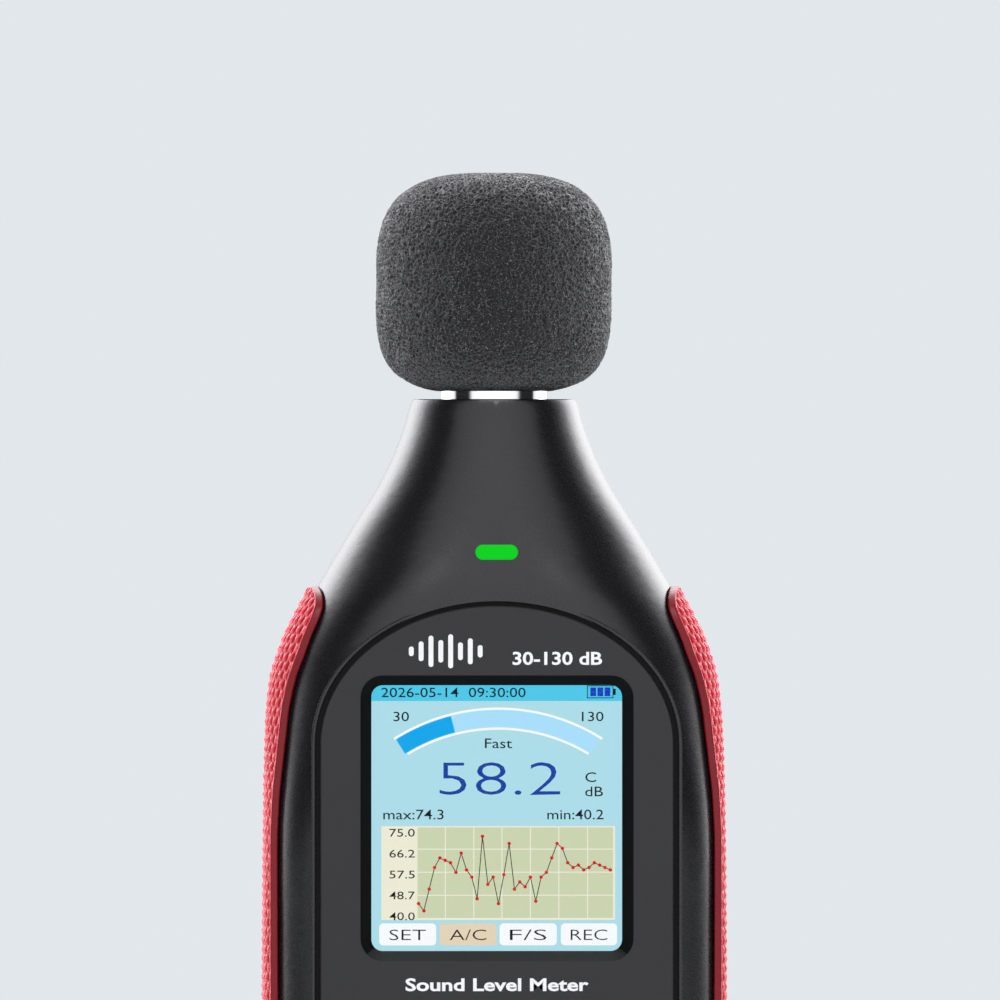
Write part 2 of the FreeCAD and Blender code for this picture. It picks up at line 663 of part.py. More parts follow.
def windscreen():
    middle = (FOAM_TOP + FOAM_BOTTOM) / 2
    half = (FOAM_TOP - FOAM_BOTTOM) / 2
    upper = []
    lower = []
    for k in range(13):
        a = PI / 2 * k / 12
        upper.append(V(FOAM_RADIUS * math.cos(a) ** (2 / FOAM_UPPER_POWER), 0,
                       middle + half * math.sin(a) ** (2 / FOAM_UPPER_POWER)))
        lower.append(V(FOAM_RADIUS * math.sin(a) ** (2 / FOAM_LOWER_POWER), 0,
                       middle - half * math.cos(a) ** (2 / FOAM_LOWER_POWER)))
    side = Part.BSplineCurve()
    side.interpolate(Points=lower + upper[1:])
    axis = [side.toShape(), Part.makeLine(V(0, 0, FOAM_TOP), V(0, 0, FOAM_BOTTOM))]
    solid = Part.Face(Part.Wire(axis)).revolve(V(0, 0, 0), V(0, 0, 1), 360)
    bore = post(0, 0, FOAM_BORE, FOAM_BOTTOM - 2, FOAM_BORE_TOP)
    return solid.cut(bore)


def cell_x():
    return [-CELL_PITCH, 0.0, CELL_PITCH]


def battery_cell(x, flipped):
    """Cell with its nub against a contact plate: at the top, or at the bottom if flipped."""
    low = TRAY_BOTTOM + TRAY_WALL + CONTACT_THICK
    high = TRAY_TOP - TRAY_WALL - CONTACT_THICK
    can_low = low + NUB_HEIGHT if flipped else high - NUB_HEIGHT - CELL_LENGTH
    nub_low = low if flipped else high - NUB_HEIGHT
    can = post(x, CELL_Y, CELL_RADIUS, can_low, can_low + CELL_LENGTH)
    rims = [e for e in can.Edges if e.Length > 20 and e.BoundBox.ZLength < 1e-6]
    nub = post(x, CELL_Y, NUB_RADIUS, nub_low, nub_low + NUB_HEIGHT)
    return joined([can.makeFillet(0.7, rims), nub])


def battery_tray():
    """Three bays side by side, with low ribs between them."""
    tray = box(-TRAY_HALF, TRAY_HALF, TRAY_FLOOR_Y, TRAY_RIM_Y, TRAY_BOTTOM, TRAY_TOP)
    low = TRAY_BOTTOM + TRAY_WALL
    high = TRAY_TOP - TRAY_WALL
    bay_radius = CELL_RADIUS + 0.1
    bays = [post(x, CELL_Y, bay_radius, low, high) for x in cell_x()]
    reach = CELL_PITCH + bay_radius
    mouth = box(-reach, reach, CELL_Y - RIB_DROP, TRAY_RIM_Y + 1, low, high)
    return cut_all(tray, bays + [mouth])


def leaf_spring(x, foot, tip):
    """Bent strip that presses a cell along Z; foot is the plate end and tip the cell end."""
    middle = (foot + tip) / 2
    thick = SPRING_THICK if tip > foot else -SPRING_THICK
    near = CELL_Y - SPRING_REACH
    far = CELL_Y + SPRING_REACH
    path = [(far, foot), (near, middle), (far - 1.0, tip), (far - 1.0, tip - thick),
            (near + 2 * SPRING_THICK, middle), (far, foot + thick)]
    half = SPRING_WIDTH / 2
    points = [V(x - half, y, z) for y, z in path]
    strip = Part.Face(Part.makePolygon(points + [points[0]]))
    return strip.extrude(V(SPRING_WIDTH, 0, 0))


def battery_springs():
    left, middle, right = cell_x()
    low = TRAY_BOTTOM + TRAY_WALL + CONTACT_THICK
    high = TRAY_TOP - TRAY_WALL - CONTACT_THICK
    upper = high - NUB_HEIGHT - CELL_LENGTH
    lower = low + NUB_HEIGHT + CELL_LENGTH
    strips = [leaf_spring(left, low, upper), leaf_spring(right, low, upper),
              leaf_spring(middle, high, lower)]
    return Part.makeCompound(strips)


def battery_contacts():
    """Spring-steel plates at both ends of every bay."""
    low = TRAY_BOTTOM + TRAY_WALL
    high = TRAY_TOP - TRAY_WALL - CONTACT_THICK
    half = CONTACT_SIDE / 2
    return Part.makeCompound([box(x - half, x + half, CELL_Y - half, CELL_Y + half, z,
                                  z + CONTACT_THICK) for x in cell_x() for z in (low, high)])


def battery_door():
    plate = box(-DOOR_HALF, DOOR_HALF, 16.5 - DOOR_THICK, 16.5, HINGE_Z, DOOR_TOP)
    span = 2 * DOOR_HALF
    bead = Part.makeCylinder(HINGE_RADIUS, span, V(-DOOR_HALF, HINGE_Y, HINGE_Z), V(1, 0, 0))
    bore = Part.makeCylinder(PIN_RADIUS + PIN_PLAY, span + 2, V(-DOOR_HALF - 1, HINGE_Y, HINGE_Z),
                             V(1, 0, 0))
    grooves = [rounded(0, DOOR_TOP - 6 - 2.2 * k, 18 - 3 * k, 0.9, 0.44, 16.0, 18) for k in range(4)]
    return cut_all(joined([plate, bead]), [bore] + grooves)


def door_pad():
    return box(-20, 20, 13.66, 16.5 - DOOR_THICK, 40, 52)


def hinge_pin():
    span = DOOR_HALF + PIN_OVERHANG
    return Part.makeCylinder(PIN_RADIUS, 2 * span, V(-span, HINGE_Y, HINGE_Z), V(1, 0, 0))


def tripod_bush():
    bush = rod(0, TRIPOD_Z, TRIPOD_RADIUS, 16.5 - TRIPOD_DEPTH, 16.5)
    return bush.cut(rod(0, TRIPOD_Z, TRIPOD_BORE, 16.5 - TRIPOD_BORE_DEPTH, 18))


def save_case():
    outer = form(0, BODY_HEIGHT, 0, 0, 0)
    hollow = form(FLOOR_WALL, CAVITY_TOP, SIDE_WALL, FRONT_WALL, SIDE_WALL)
    save("front_shell", front_shell(outer, hollow))
    save("back_shell", back_shell(outer, hollow))
    grip = right_grip(outer)
    save("right_grip", grip)
    save("left_grip", mirrored(grip))
    save("faceplate", faceplate())
    save("case_screws", case_screws())
    save("tripod_bush", tripod_bush())


def save_display():
    save("window_adhesive", window_adhesive())
    save("lcd_window", lcd_window())
    save("lcd_panel", lcd_panel())
    save("lcd_backlight", lcd_backlight())
    save("lcd_cushion", lcd_cushion())
    save("lcd_flex", lcd_flex())
    save("lcd_connector", lcd_connector())
    save("led_light_pipe", light_pipe())
    save("power_led", box(-1.6, 1.6, -8.1, BOARD_FRONT_Y, LED_Z - 0.8, LED_Z + 0.8))


def save_board():
    save("main_board", main_board())
    save("board_screws", board_screws())
    save("processor_chip", chip(-5, 112, 10, 10, 1.2))
    save("memory_chip", chip(-5, 97, 6, 5, 1.1))
    save("clock_crystal", chip(6, 106, 3.2, 1.6, 0.9))
    save("amplifier_chip", chip(0, 132, 5, 4, 1.1))
    save("capacitors", capacitors())
    holder, clip = rtc_holder()
    save("clock_cell_holder", holder)
    save("clock_cell_clip", clip)
    save("clock_cell", rtc_cell())
    save("key_switches", switch_housings())


def save_keys():
    names = SOFT_KEY_NAMES + ROUND_KEY_NAMES
    for name, spot in zip(names, key_spots()):
        save(name, key_cap(spot))
        save(name.replace("_key", "_plunger"), key_plunger(spot))


def save_microphone():
    save("mic_tube", mic_tube())
    save("mic_nut", mic_nut())
    save("mic_grid", mic_grid())
    save("mic_capsule", mic_capsule())
    save("mic_sleeve", mic_sleeve())
    save("mic_board", mic_board())
    save("mic_preamp_chip", mic_preamp_chip())
    save("mic_contact", mic_contact())
    save("mic_flex", mic_flex())
    save("mic_connector", mic_connector())
    save("windscreen", windscreen())


def save_power():
    left, middle, right = cell_x()
    save("battery_left", battery_cell(left, False))
    save("battery_middle", battery_cell(middle, True))
    save("battery_right", battery_cell(right, False))
    save("battery_tray", battery_tray())
    save("battery_springs", battery_springs())
    save("battery_contacts", battery_contacts())
    save("battery_door", battery_door())
    save("battery_door_pad", door_pad())
    save("door_hinge_pin", hinge_pin())


os.makedirs("parts", exist_ok=True)
save_case()
save_display()
save_board()
save_keys()
save_microphone()
save_power()
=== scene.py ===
import bpy
import math
import numpy as np
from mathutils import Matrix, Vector, noise


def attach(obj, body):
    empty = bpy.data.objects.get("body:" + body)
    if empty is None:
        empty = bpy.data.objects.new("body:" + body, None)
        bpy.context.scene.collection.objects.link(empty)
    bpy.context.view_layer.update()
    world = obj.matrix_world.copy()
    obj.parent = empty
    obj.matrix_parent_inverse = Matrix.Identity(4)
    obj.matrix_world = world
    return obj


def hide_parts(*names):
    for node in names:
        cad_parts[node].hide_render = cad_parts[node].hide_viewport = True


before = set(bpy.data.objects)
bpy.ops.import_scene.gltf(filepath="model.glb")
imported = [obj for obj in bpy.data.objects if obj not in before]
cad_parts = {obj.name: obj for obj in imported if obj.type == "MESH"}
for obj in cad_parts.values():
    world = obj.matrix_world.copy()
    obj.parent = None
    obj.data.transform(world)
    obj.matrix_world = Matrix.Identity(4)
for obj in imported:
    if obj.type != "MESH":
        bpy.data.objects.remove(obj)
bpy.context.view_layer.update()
MM = 0.001

# body form, the same curves as the case, in mm: height and half width or depth
HALF_WIDTH = [(0, 30.4), (20, 31.4), (45, 32.5), (77, 33.0), (107, 32.8), (119, 32.5), (125, 31.9),
              (131, 30.1), (137, 27.1), (142.6, 23.9), (148.5, 20.3), (154.4, 16.7), (160.4, 14.0),
              (166.4, 12.15)]
FRONT_DEPTH = [(0, 16.5), (137, 16.5), (142.6, 15.85), (148.5, 15.0), (154.4, 14.1), (160.4, 13.2),
               (166.4, 12.4)]
BACK_DEPTH = [(0, 16.5), (120, 16.5), (137, 16.0), (148.5, 14.8), (160.4, 13.0), (166.4, 12.2)]
FRONT_FLAT = [(0, 21.5), (20, 22.9), (45, 23.4), (100, 23.4), (107, 22.4), (113, 20.0), (119, 17.0),
              (125, 15.0), (131, 13.0), (137, 8.5), (142.6, 3.5), (148.5, 1.0), (166.4, 0.5)]
BACK_FLAT = [(0, 23.5), (20, 24.0), (90, 24.0), (110, 22.0), (125, 16.0), (137, 6.0), (148.5, 1.5),
             (166.4, 0.5)]
FRONT_BEND = [(0, 9.0), (20, 9.4), (100, 9.4), (107, 10.2), (113, 12.0), (119, 14.0), (125, 15.6),
              (137, 15.8), (142.6, 15.3), (148.5, 14.6), (154.4, 13.8), (160.4, 12.9), (166.4, 12.1)]
BACK_BEND = [(0, 10.5), (20, 11.0), (120, 11.0), (137, 14.5), (148.5, 14.3), (160.4, 12.6),
             (166.4, 11.9)]
MIN_CORNER = 4.5

# grip: (depth, height) up its front edge, over its top and down its back edge
GRIP_EDGE = [(-11.6, 79.0), (-11.0, 107.0), (-9.4, 121.9), (-9.9, 129.3), (-8.8, 135.9),
             (-3.5, 138.7), (4.0, 137.2), (9.5, 131.5), (11.2, 120.0), (11.2, 79.0)]
GRIP_TOP = 138.7
GRIP_LOW = 12.0
GRIP_FOOT = 7.0
GRIP_THICK = 1.38
GRIP_GAP = 0.3
GRIP_ROLL = 0.12
GRIP_COLUMNS = 150
GRIP_ROWS = 760
WALL_STEPS = 5
KNURL = 1.9
KNURL_TALL = 2.7
KNURL_DEPTH = 0.55

FOAM_RADIUS = 17.55
FOAM_LOW = 167.3
FOAM_HIGH = 199.95
FOAM_UPPER = 3.05
FOAM_LOWER = 3.7
FOAM_BORE = 7.9
FOAM_CELL = 0.66
FOAM_PIT = 0.42
FOAM_WALL = 0.42
FOAM_SWELL = 0.16

FACE_Y = -16.5
PANEL_HALF = 26.1
PANEL_RISE = 20.35
PANEL_SPRING = 115.6
PANEL_BOTTOM = 20.0
PANEL_CORNER = 13.0
PANEL_GAP = 0.65
RECESS_Z = 104.6
BORDER_MOUTH = (40.2, 42.0, 3.25, -16.49)
BORDER_FOOT = (36.98, 39.18, 1.69, -14.93)
BORDER_END_Z = RECESS_Z - 20.0
SCREEN_Y = -13.55
SCREEN_Z = 104.8
SCREEN_W = 37.0
SCREEN_H = 39.2
LAYER = 0.015
PRINT_Y = FACE_Y - 0.015
GROOVE_Y = FACE_Y + 0.45
KEY_MARK_Y = -17.91
SOFT_KEYS_X = (-14.4, -4.8, 4.8, 14.4)
SOFT_KEYS_Z = 68.5
ROUND_KEY_X = 10.5
ROUND_KEY_Z = 49.0
CAP_HEIGHT = 0.72
WIDE_TYPE = 1.25


# ---------- materials ----------

def srgb(r, g, b):
    def lin(c):
        c = c / 255
        return c / 12.92 if c <= 0.04045 else ((c + 0.055) / 1.055) ** 2.4
    return (lin(r), lin(g), lin(b), 1.0)


def new_material(name):
    material = bpy.data.materials.new(name)
    material.use_nodes = True
    nodes = material.node_tree.nodes
    nodes.clear()
    out = nodes.new("ShaderNodeOutputMaterial")
    shader = nodes.new("ShaderNodeBsdfPrincipled")
    material.node_tree.links.new(shader.outputs[0], out.inputs[0])
    return material, shader


def node(material, kind, **values):
    made = material.node_tree.nodes.new(kind)
    for key, value in values.items():
        if hasattr(made, key):
            setattr(made, key, value)
        else:
            made.inputs[key.replace("_", " ")].default_value = value
    return made


def link(material, a, b):
    material.node_tree.links.new(a, b)


def coords(material, scale=(1, 1, 1)):
    place = node(material, "ShaderNodeTexCoord")
    mapping = node(material, "ShaderNodeMapping")
    mapping.inputs["Scale"].default_value = scale
    link(material, place.outputs["Object"], mapping.inputs["Vector"])
    return mapping.outputs[0]


def noise_at(material, vector, size_mm, detail=3.0, rough=0.55):
    made = node(material, "ShaderNodeTexNoise", Scale=1 / (size_mm * MM), Detail=detail)
    made.inputs["Roughness"].default_value = rough
    link(material, vector, made.inputs["Vector"])
    return made.outputs["Fac"]


def ramp(material, source, stops):
    made = node(material, "ShaderNodeValToRGB")
    elements = made.color_ramp.elements
    while len(elements) < len(stops):
        elements.new(0.5)
    for element, (place, colour) in zip(elements, stops):
        element.position = place
        element.color = colour
    link(material, source, made.inputs[0])
    return made.outputs[0]


def span(material, source, low, high):
    """The middle of a noise's range spread over low to high."""
    made = node(material, "ShaderNodeMapRange")
    made.inputs["From Min"].default_value = 0.3
    made.inputs["From Max"].default_value = 0.7
    made.inputs["To Min"].default_value = low
    made.inputs["To Max"].default_value = high
    link(material, source, made.inputs["Value"])
    return made.outputs[0]


def bump(material, shader, height, distance_mm, strength=1.0):
    made = node(material, "ShaderNodeBump", Strength=strength, Distance=distance_mm * MM)
    link(material, height, made.inputs["Height"])
    link(material, made.outputs[0], shader.inputs["Normal"])
    return made


def moulded(name, colour, other, rough, grain_mm, relief_mm, metal=0.0, specular=0.5, stretch=(1, 1, 1)):
    """Plastic, rubber or metal with slight colour drift, uneven gloss and a fine surface grain."""
    material, shader = new_material(name)
    vector = coords(material, stretch)
    broad = noise_at(material, vector, 14.0, 2.0)
    fine = noise_at(material, vector, grain_mm, 4.0)
    link(material, ramp(material, broad, [(0.3, colour), (0.7, other)]), shader.inputs["Base Color"])
    link(material, span(material, fine, rough[0], rough[1]), shader.inputs["Roughness"])
    shader.inputs["Metallic"].default_value = metal
    shader.inputs["Specular IOR Level"].default_value = specular
    if relief_mm:
        bump(material, shader, fine, relief_mm)
    return material


def foam_material():
    """Open-cell foam: painted shade, near black, in the pores and a painted highlight, pale grey, on the
    broken cell walls.
    """
    material, shader = new_material("foam")
    vector = coords(material)
    cells = node(material, "ShaderNodeTexVoronoi", feature="DISTANCE_TO_EDGE", Scale=1 / (0.42 * MM))
    link(material, vector, cells.inputs["Vector"])
    fine = noise_at(material, vector, 0.24, 3.0, 0.7)
    blend = node(material, "ShaderNodeMath", operation="MULTIPLY_ADD")
    link(material, cells.outputs["Distance"], blend.inputs[0])
    blend.inputs[1].default_value = -0.9
    link(material, fine, blend.inputs[2])
    # painted shade in the pores and painted highlight on the cell walls, broken up by a random grain
    tone = ramp(material, blend.outputs[0], [(0.3, srgb(5, 5, 6)), (0.44, srgb(15, 15, 17)),
                                             (0.53, srgb(48, 48, 51)), (0.62, srgb(170, 170, 175))])
    link(material, tone, shader.inputs["Base Color"])
    shader.inputs["Roughness"].default_value = 0.4
    shader.inputs["Sheen Weight"].default_value = 0.35
    shader.inputs["Sheen Roughness"].default_value = 0.25
    shader.inputs["Specular IOR Level"].default_value = 0.5
    bump(material, shader, blend.outputs[0], 0.4)
    return material


def rubber_material():
    """Red rubber with painted shade, deeper red, in the valleys of the diamond pattern and a painted
    highlight, pale pink, on its ridges.
    """
    material, shader = new_material("grip_rubber")
    vector = coords(material)
    broad = noise_at(material, vector, 9.0, 2.0)
    fine = noise_at(material, vector, 0.12, 4.0)
    valley_shade_ridge_highlight = node(material, "ShaderNodeMix", data_type="RGBA")
    relief = node(material, "ShaderNodeAttribute", attribute_name="knurl")
    link(material, ramp(material, relief.outputs["Fac"], [(0.2, (0, 0, 0, 1)), (0.75, (1, 1, 1, 1))]),
         valley_shade_ridge_highlight.inputs[0])
    # painted shade: the deeper red of the valleys
    link(material, ramp(material, broad, [(0.3, srgb(146, 4, 18)), (0.7, srgb(156, 6, 22))]),
         valley_shade_ridge_highlight.inputs[6])
    # painted highlight: the pale pink of the ridges
    link(material, ramp(material, broad, [(0.3, srgb(238, 84, 98)), (0.7, srgb(242, 96, 108))]),
         valley_shade_ridge_highlight.inputs[7])
    link(material, valley_shade_ridge_highlight.outputs[2], shader.inputs["Base Color"])
    link(material, span(material, fine, 0.34, 0.5), shader.inputs["Roughness"])
    shader.inputs["Specular IOR Level"].default_value = 0.3
    bump(material, shader, fine, 0.02)
    return material


def lit_material(name, colour):
    """A lit colour: even glow with a faint grain."""
    material, shader = new_material(name)
    vector = coords(material)
    fine = noise_at(material, vector, 0.11, 1.0)
    low = tuple(c * 0.94 for c in colour[:3]) + (1.0,)
    tone = ramp(material, fine, [(0.35, low), (0.65, colour)])
    link(material, tone, shader.inputs["Emission Color"])
    shader.inputs["Emission Strength"].default_value = 1.0
    shader.inputs["Base Color"].default_value = (0.002, 0.002, 0.002, 1.0)
    shader.inputs["Roughness"].default_value = 0.4
    shader.inputs["Specular IOR Level"].default_value = 0.05
    return material


def glass_material():
    material, shader = new_material("window_glass")
    vector = coords(material)
    fine = noise_at(material, vector, 2.0, 2.0)
    link(material, span(material, fine, 0.01, 0.03), shader.inputs["Roughness"])
    shader.inputs["Base Color"].default_value = (0.97, 0.985, 0.99, 1.0)
    shader.inputs["Transmission Weight"].default_value = 1.0
    shader.inputs["IOR"].default_value = 1.1
    return material


def chrome_material():
    return moulded("chrome", (0.86, 0.87, 0.89, 1), (0.8, 0.81, 0.84, 1), (0.05, 0.1), 0.5, 0.002,
                   metal=1.0, stretch=(1, 1, 0.1))


def battery_material():
    material, shader = new_material("battery_sleeve")
    vector = coords(material)
    split = node(material, "ShaderNodeSeparateXYZ")
    link(material, vector, split.inputs[0])
    band = node(material, "ShaderNodeMapRange")
    band.inputs["From Min"].default_value = 0.02
    band.inputs["From Max"].default_value = 0.075
    link(material, split.outputs["Z"], band.inputs["Value"])
    stops = [(0.0, srgb(150, 152, 156)), (0.07, srgb(24, 38, 92)), (0.72, srgb(24, 38, 92)),
             (0.73, srgb(196, 150, 60)), (0.92, srgb(196, 150, 60)), (0.93, srgb(150, 152, 156))]
    tone = ramp(material, band.outputs[0], stops)
    link(material, tone, shader.inputs["Base Color"])
    fine = noise_at(material, vector, 0.4, 3.0)
    link(material, span(material, fine, 0.25, 0.4), shader.inputs["Roughness"])
    shader.inputs["Metallic"].default_value = 0.4
    return material


def board_material():
    material, shader = new_material("circuit_board")
    vector = coords(material)
    tracks = node(material, "ShaderNodeTexBrick", Scale=400.0)
    tracks.inputs["Color1"].default_value = srgb(14, 78, 42)
    tracks.inputs["Color2"].default_value = srgb(18, 88, 50)
    tracks.inputs["Mortar"].default_value = srgb(30, 112, 66)
    tracks.inputs["Mortar Size"].default_value = 0.03
    link(material, vector, tracks.inputs["Vector"])
    link(material, tracks.outputs["Color"], shader.inputs["Base Color"])
    fine = noise_at(material, vector, 0.6, 3.0)
    link(material, span(material, fine, 0.25, 0.4), shader.inputs["Roughness"])
    return material


def make_materials():
    m = {}
    m["case"] = moulded("case_plastic", srgb(19, 19, 22), srgb(16, 16, 19), (0.25, 0.31), 0.22, 0.003)
    m["panel"] = moulded("panel_plastic", srgb(16, 16, 18), srgb(13, 13, 15), (0.5, 0.58), 0.12, 0.01)
    # painted shade: black for the sheets on the display recess slopes and in the panel groove
    m["border"] = moulded("painted_shade_black", srgb(10, 10, 11), srgb(8, 8, 9), (0.5, 0.6), 0.2, 0.004,
                          specular=0.1)
    m["red"] = rubber_material()
    # painted shade: a darker copy of the grip rubber for the grip's walls and inside
    m["flange"] = moulded("grip_wall_painted_shade", srgb(122, 14, 24), srgb(114, 12, 20), (0.3, 0.38), 0.3, 0.004,
                          specular=0.25)
    m["foam"] = foam_material()
    m["chrome"] = chrome_material()
    m["glass"] = glass_material()
    m["key"] = moulded("key_rubber", srgb(58, 58, 62), srgb(52, 52, 56), (0.5, 0.65), 0.15, 0.01)
    m["chip"] = moulded("chip_epoxy", srgb(24, 24, 26), srgb(30, 30, 32), (0.5, 0.7), 0.1, 0.01)
    m["steel"] = moulded("plated_steel", (0.58, 0.58, 0.6, 1), (0.5, 0.5, 0.52, 1), (0.22, 0.36), 0.3,
                         0.004, metal=1.0, stretch=(1, 1, 0.2))
    m["brass"] = moulded("brass", (0.76, 0.56, 0.26, 1), (0.66, 0.47, 0.2, 1), (0.2, 0.34), 0.3, 0.006,
                         metal=1.0, stretch=(1, 0.15, 1))
    m["white"] = moulded("white_plastic", srgb(222, 222, 218), srgb(212, 212, 208), (0.4, 0.5), 0.3, 0.01)
    m["amber"] = moulded("amber_film", srgb(190, 120, 40), srgb(170, 102, 30), (0.25, 0.35), 0.8, 0.004)
    m["ceramic"] = moulded("ceramic", srgb(226, 224, 216), srgb(216, 214, 206), (0.3, 0.4), 0.3, 0.004)
    m["pad"] = moulded("pad_foam", srgb(44, 44, 46), srgb(34, 34, 36), (0.8, 0.95), 0.5, 0.08)
    m["cell"] = battery_material()
    m["board"] = board_material()
    m["led"] = lit_material("led_lens", srgb(2, 212, 30))
    m["print"] = moulded("white_print", srgb(236, 236, 238), srgb(228, 228, 230), (0.45, 0.55), 0.2, 0.004)
    return m


CAD_LOOKS = {
    "case": ["front_shell", "back_shell", "battery_door"],
    "panel": ["faceplate"],
    "glass": ["lcd_window"],
    "chrome": ["mic_tube", "mic_grid"],
    "led": ["led_light_pipe"],
    "board": ["main_board", "mic_board"],
    "chip": ["processor_chip", "memory_chip", "amplifier_chip", "clock_cell_holder", "mic_preamp_chip",
             "battery_tray"],
    "steel": ["case_screws", "board_screws", "clock_crystal", "capacitors", "clock_cell_clip",
              "clock_cell", "key_switches", "mic_capsule", "battery_springs", "battery_contacts",
              "door_hinge_pin"],
    "brass": ["tripod_bush", "mic_nut", "mic_contact"],
    "white": ["lcd_backlight", "lcd_connector", "power_led", "mic_connector", "lcd_panel"],
    "amber": ["lcd_flex", "mic_flex"],
    "ceramic": ["mic_sleeve"],
    "pad": ["window_adhesive", "lcd_cushion", "battery_door_pad"],
    "cell": ["battery_left", "battery_middle", "battery_right"],
}
KEYS = ["set", "weighting", "response", "record", "power", "hold"]


def dress_cad(m):
    for look, names in CAD_LOOKS.items():
        for name in names:
            paint(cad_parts[name], m[look])
    for key in KEYS:
        paint(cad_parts[key + "_key"], m["key"])
        paint(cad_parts[key + "_plunger"], m["chip"])


def paint(obj, material):
    if not obj.material_slots:
        obj.data.materials.append(material)
    for slot in obj.material_slots:
        slot.material = material


# ---------- meshes ----------

def mesh_object(name, points, faces, material, smooth=True):
    mesh = bpy.data.meshes.new(name)
    mesh.from_pydata([tuple(p) for p in points], [], faces)
    mesh.validate()
    mesh.update()
    mesh.polygons.foreach_set("use_smooth", [smooth] * len(mesh.polygons))
    obj = bpy.data.objects.new(name, mesh)
    bpy.context.scene.collection.objects.link(obj)
    obj.data.materials.append(material)
    return obj


def steady(stations):
    """Smooth curve through the stations that never overshoots them."""
    zs = [s[0] for s in stations]
    vs = [s[1] for s in stations]
    count = len(zs)
    rise = [(vs[i + 1] - vs[i]) / (zs[i + 1] - zs[i]) for i in range(count - 1)]
    slopes = [rise[0]]
    for i in range(1, count - 1):
        turns = rise[i - 1] * rise[i] <= 0
        slopes.append(0.0 if turns else 2 * rise[i - 1] * rise[i] / (rise[i - 1] + rise[i]))
    slopes.append(rise[-1])

    def value(z):
        z = min(max(z, zs[0]), zs[-1])
        i = max(k for k in range(count - 1) if zs[k] <= z)
        step = zs[i + 1] - zs[i]
        t = (z - zs[i]) / step
        near = (1 + 2 * t) * (1 - t) ** 2 * vs[i] + t * (1 - t) ** 2 * step * slopes[i]
        far = t * t * (3 - 2 * t) * vs[i + 1] + t * t * (t - 1) * step * slopes[i + 1]
        return near + far

    return value


half_width = steady(HALF_WIDTH)
front_depth = steady(FRONT_DEPTH)
back_depth = steady(BACK_DEPTH)
front_flat = steady(FRONT_FLAT)
back_flat = steady(BACK_FLAT)
front_bend = steady(FRONT_BEND)
back_bend = steady(BACK_BEND)


def side_x(z, y, grow):
    """Half width of the case at height z and depth y, swollen by grow."""
    wide = half_width(z)
    flat = min((front_flat if y < 0 else back_flat)(z), wide - MIN_CORNER)
    deep = (front_depth if y < 0 else back_depth)(z)
    bend = (front_bend if y < 0 else back_bend)(z)
    past = max(abs(y) - deep + bend, 0) / (bend + grow)
    return flat + (wide + grow - flat) * math.sqrt(max(1 - past ** 2, 0))


def through(points, steps):
    """Smooth line through the points."""
    line = []
    last = len(points) - 1
    for i in range(last):
        p0, p1, p2, p3 = (Vector(points[max(min(k, last), 0)]) for k in (i - 1, i, i + 1, i + 2))
        for k in range(steps):
            t = k / steps
            line.append(0.5 * (2 * p1 + (p2 - p0) * t + (2 * p0 - 5 * p1 + 4 * p2 - p3) * t * t
                               + (3 * p1 - p0 - 3 * p2 + p3) * t ** 3))
    line.append(Vector(points[-1]))
    return line


def grip_sides():
    """Front and back edges of the grip as depth against height."""
    line = through(GRIP_EDGE, 24)
    peak = max(range(len(line)), key=lambda i: line[i].y)
    front = [(p.y, p.x) for p in line[:peak + 1]]
    back = [(p.y, p.x) for p in line[peak:]][::-1]
    foot = []
    for k in range(13):
        a = math.pi / 2 * k / 12
        foot.append((GRIP_LOW + GRIP_FOOT * (1 - math.cos(a)), GRIP_FOOT * (1 - math.sin(a))))
    y_front = GRIP_EDGE[0][0]
    y_back = GRIP_EDGE[-1][0]
    front = [(z, y_front + d) for z, d in foot] + front
    back = [(z, y_back - d) for z, d in foot] + back
    return front, back


def read_line(line, z):
    """Depth of an edge of the grip at height z."""
    zs = [p[0] for p in line]
    return float(np.interp(z, zs, [p[1] for p in line]))


def knurl_height(u, v):
    """1 where the raised ridges cross, lower along them, and 0 in the diamond pits between."""
    a = u / KNURL + v / KNURL_TALL
    b = u / KNURL - v / KNURL_TALL
    ta = 1 - abs(2 * (a - math.floor(a)) - 1)
    tb = 1 - abs(2 * (b - math.floor(b)) - 1)
    return max(0.0, 1 - 1.7 * min(ta, tb)) * (1 - 0.42 * max(ta, tb))


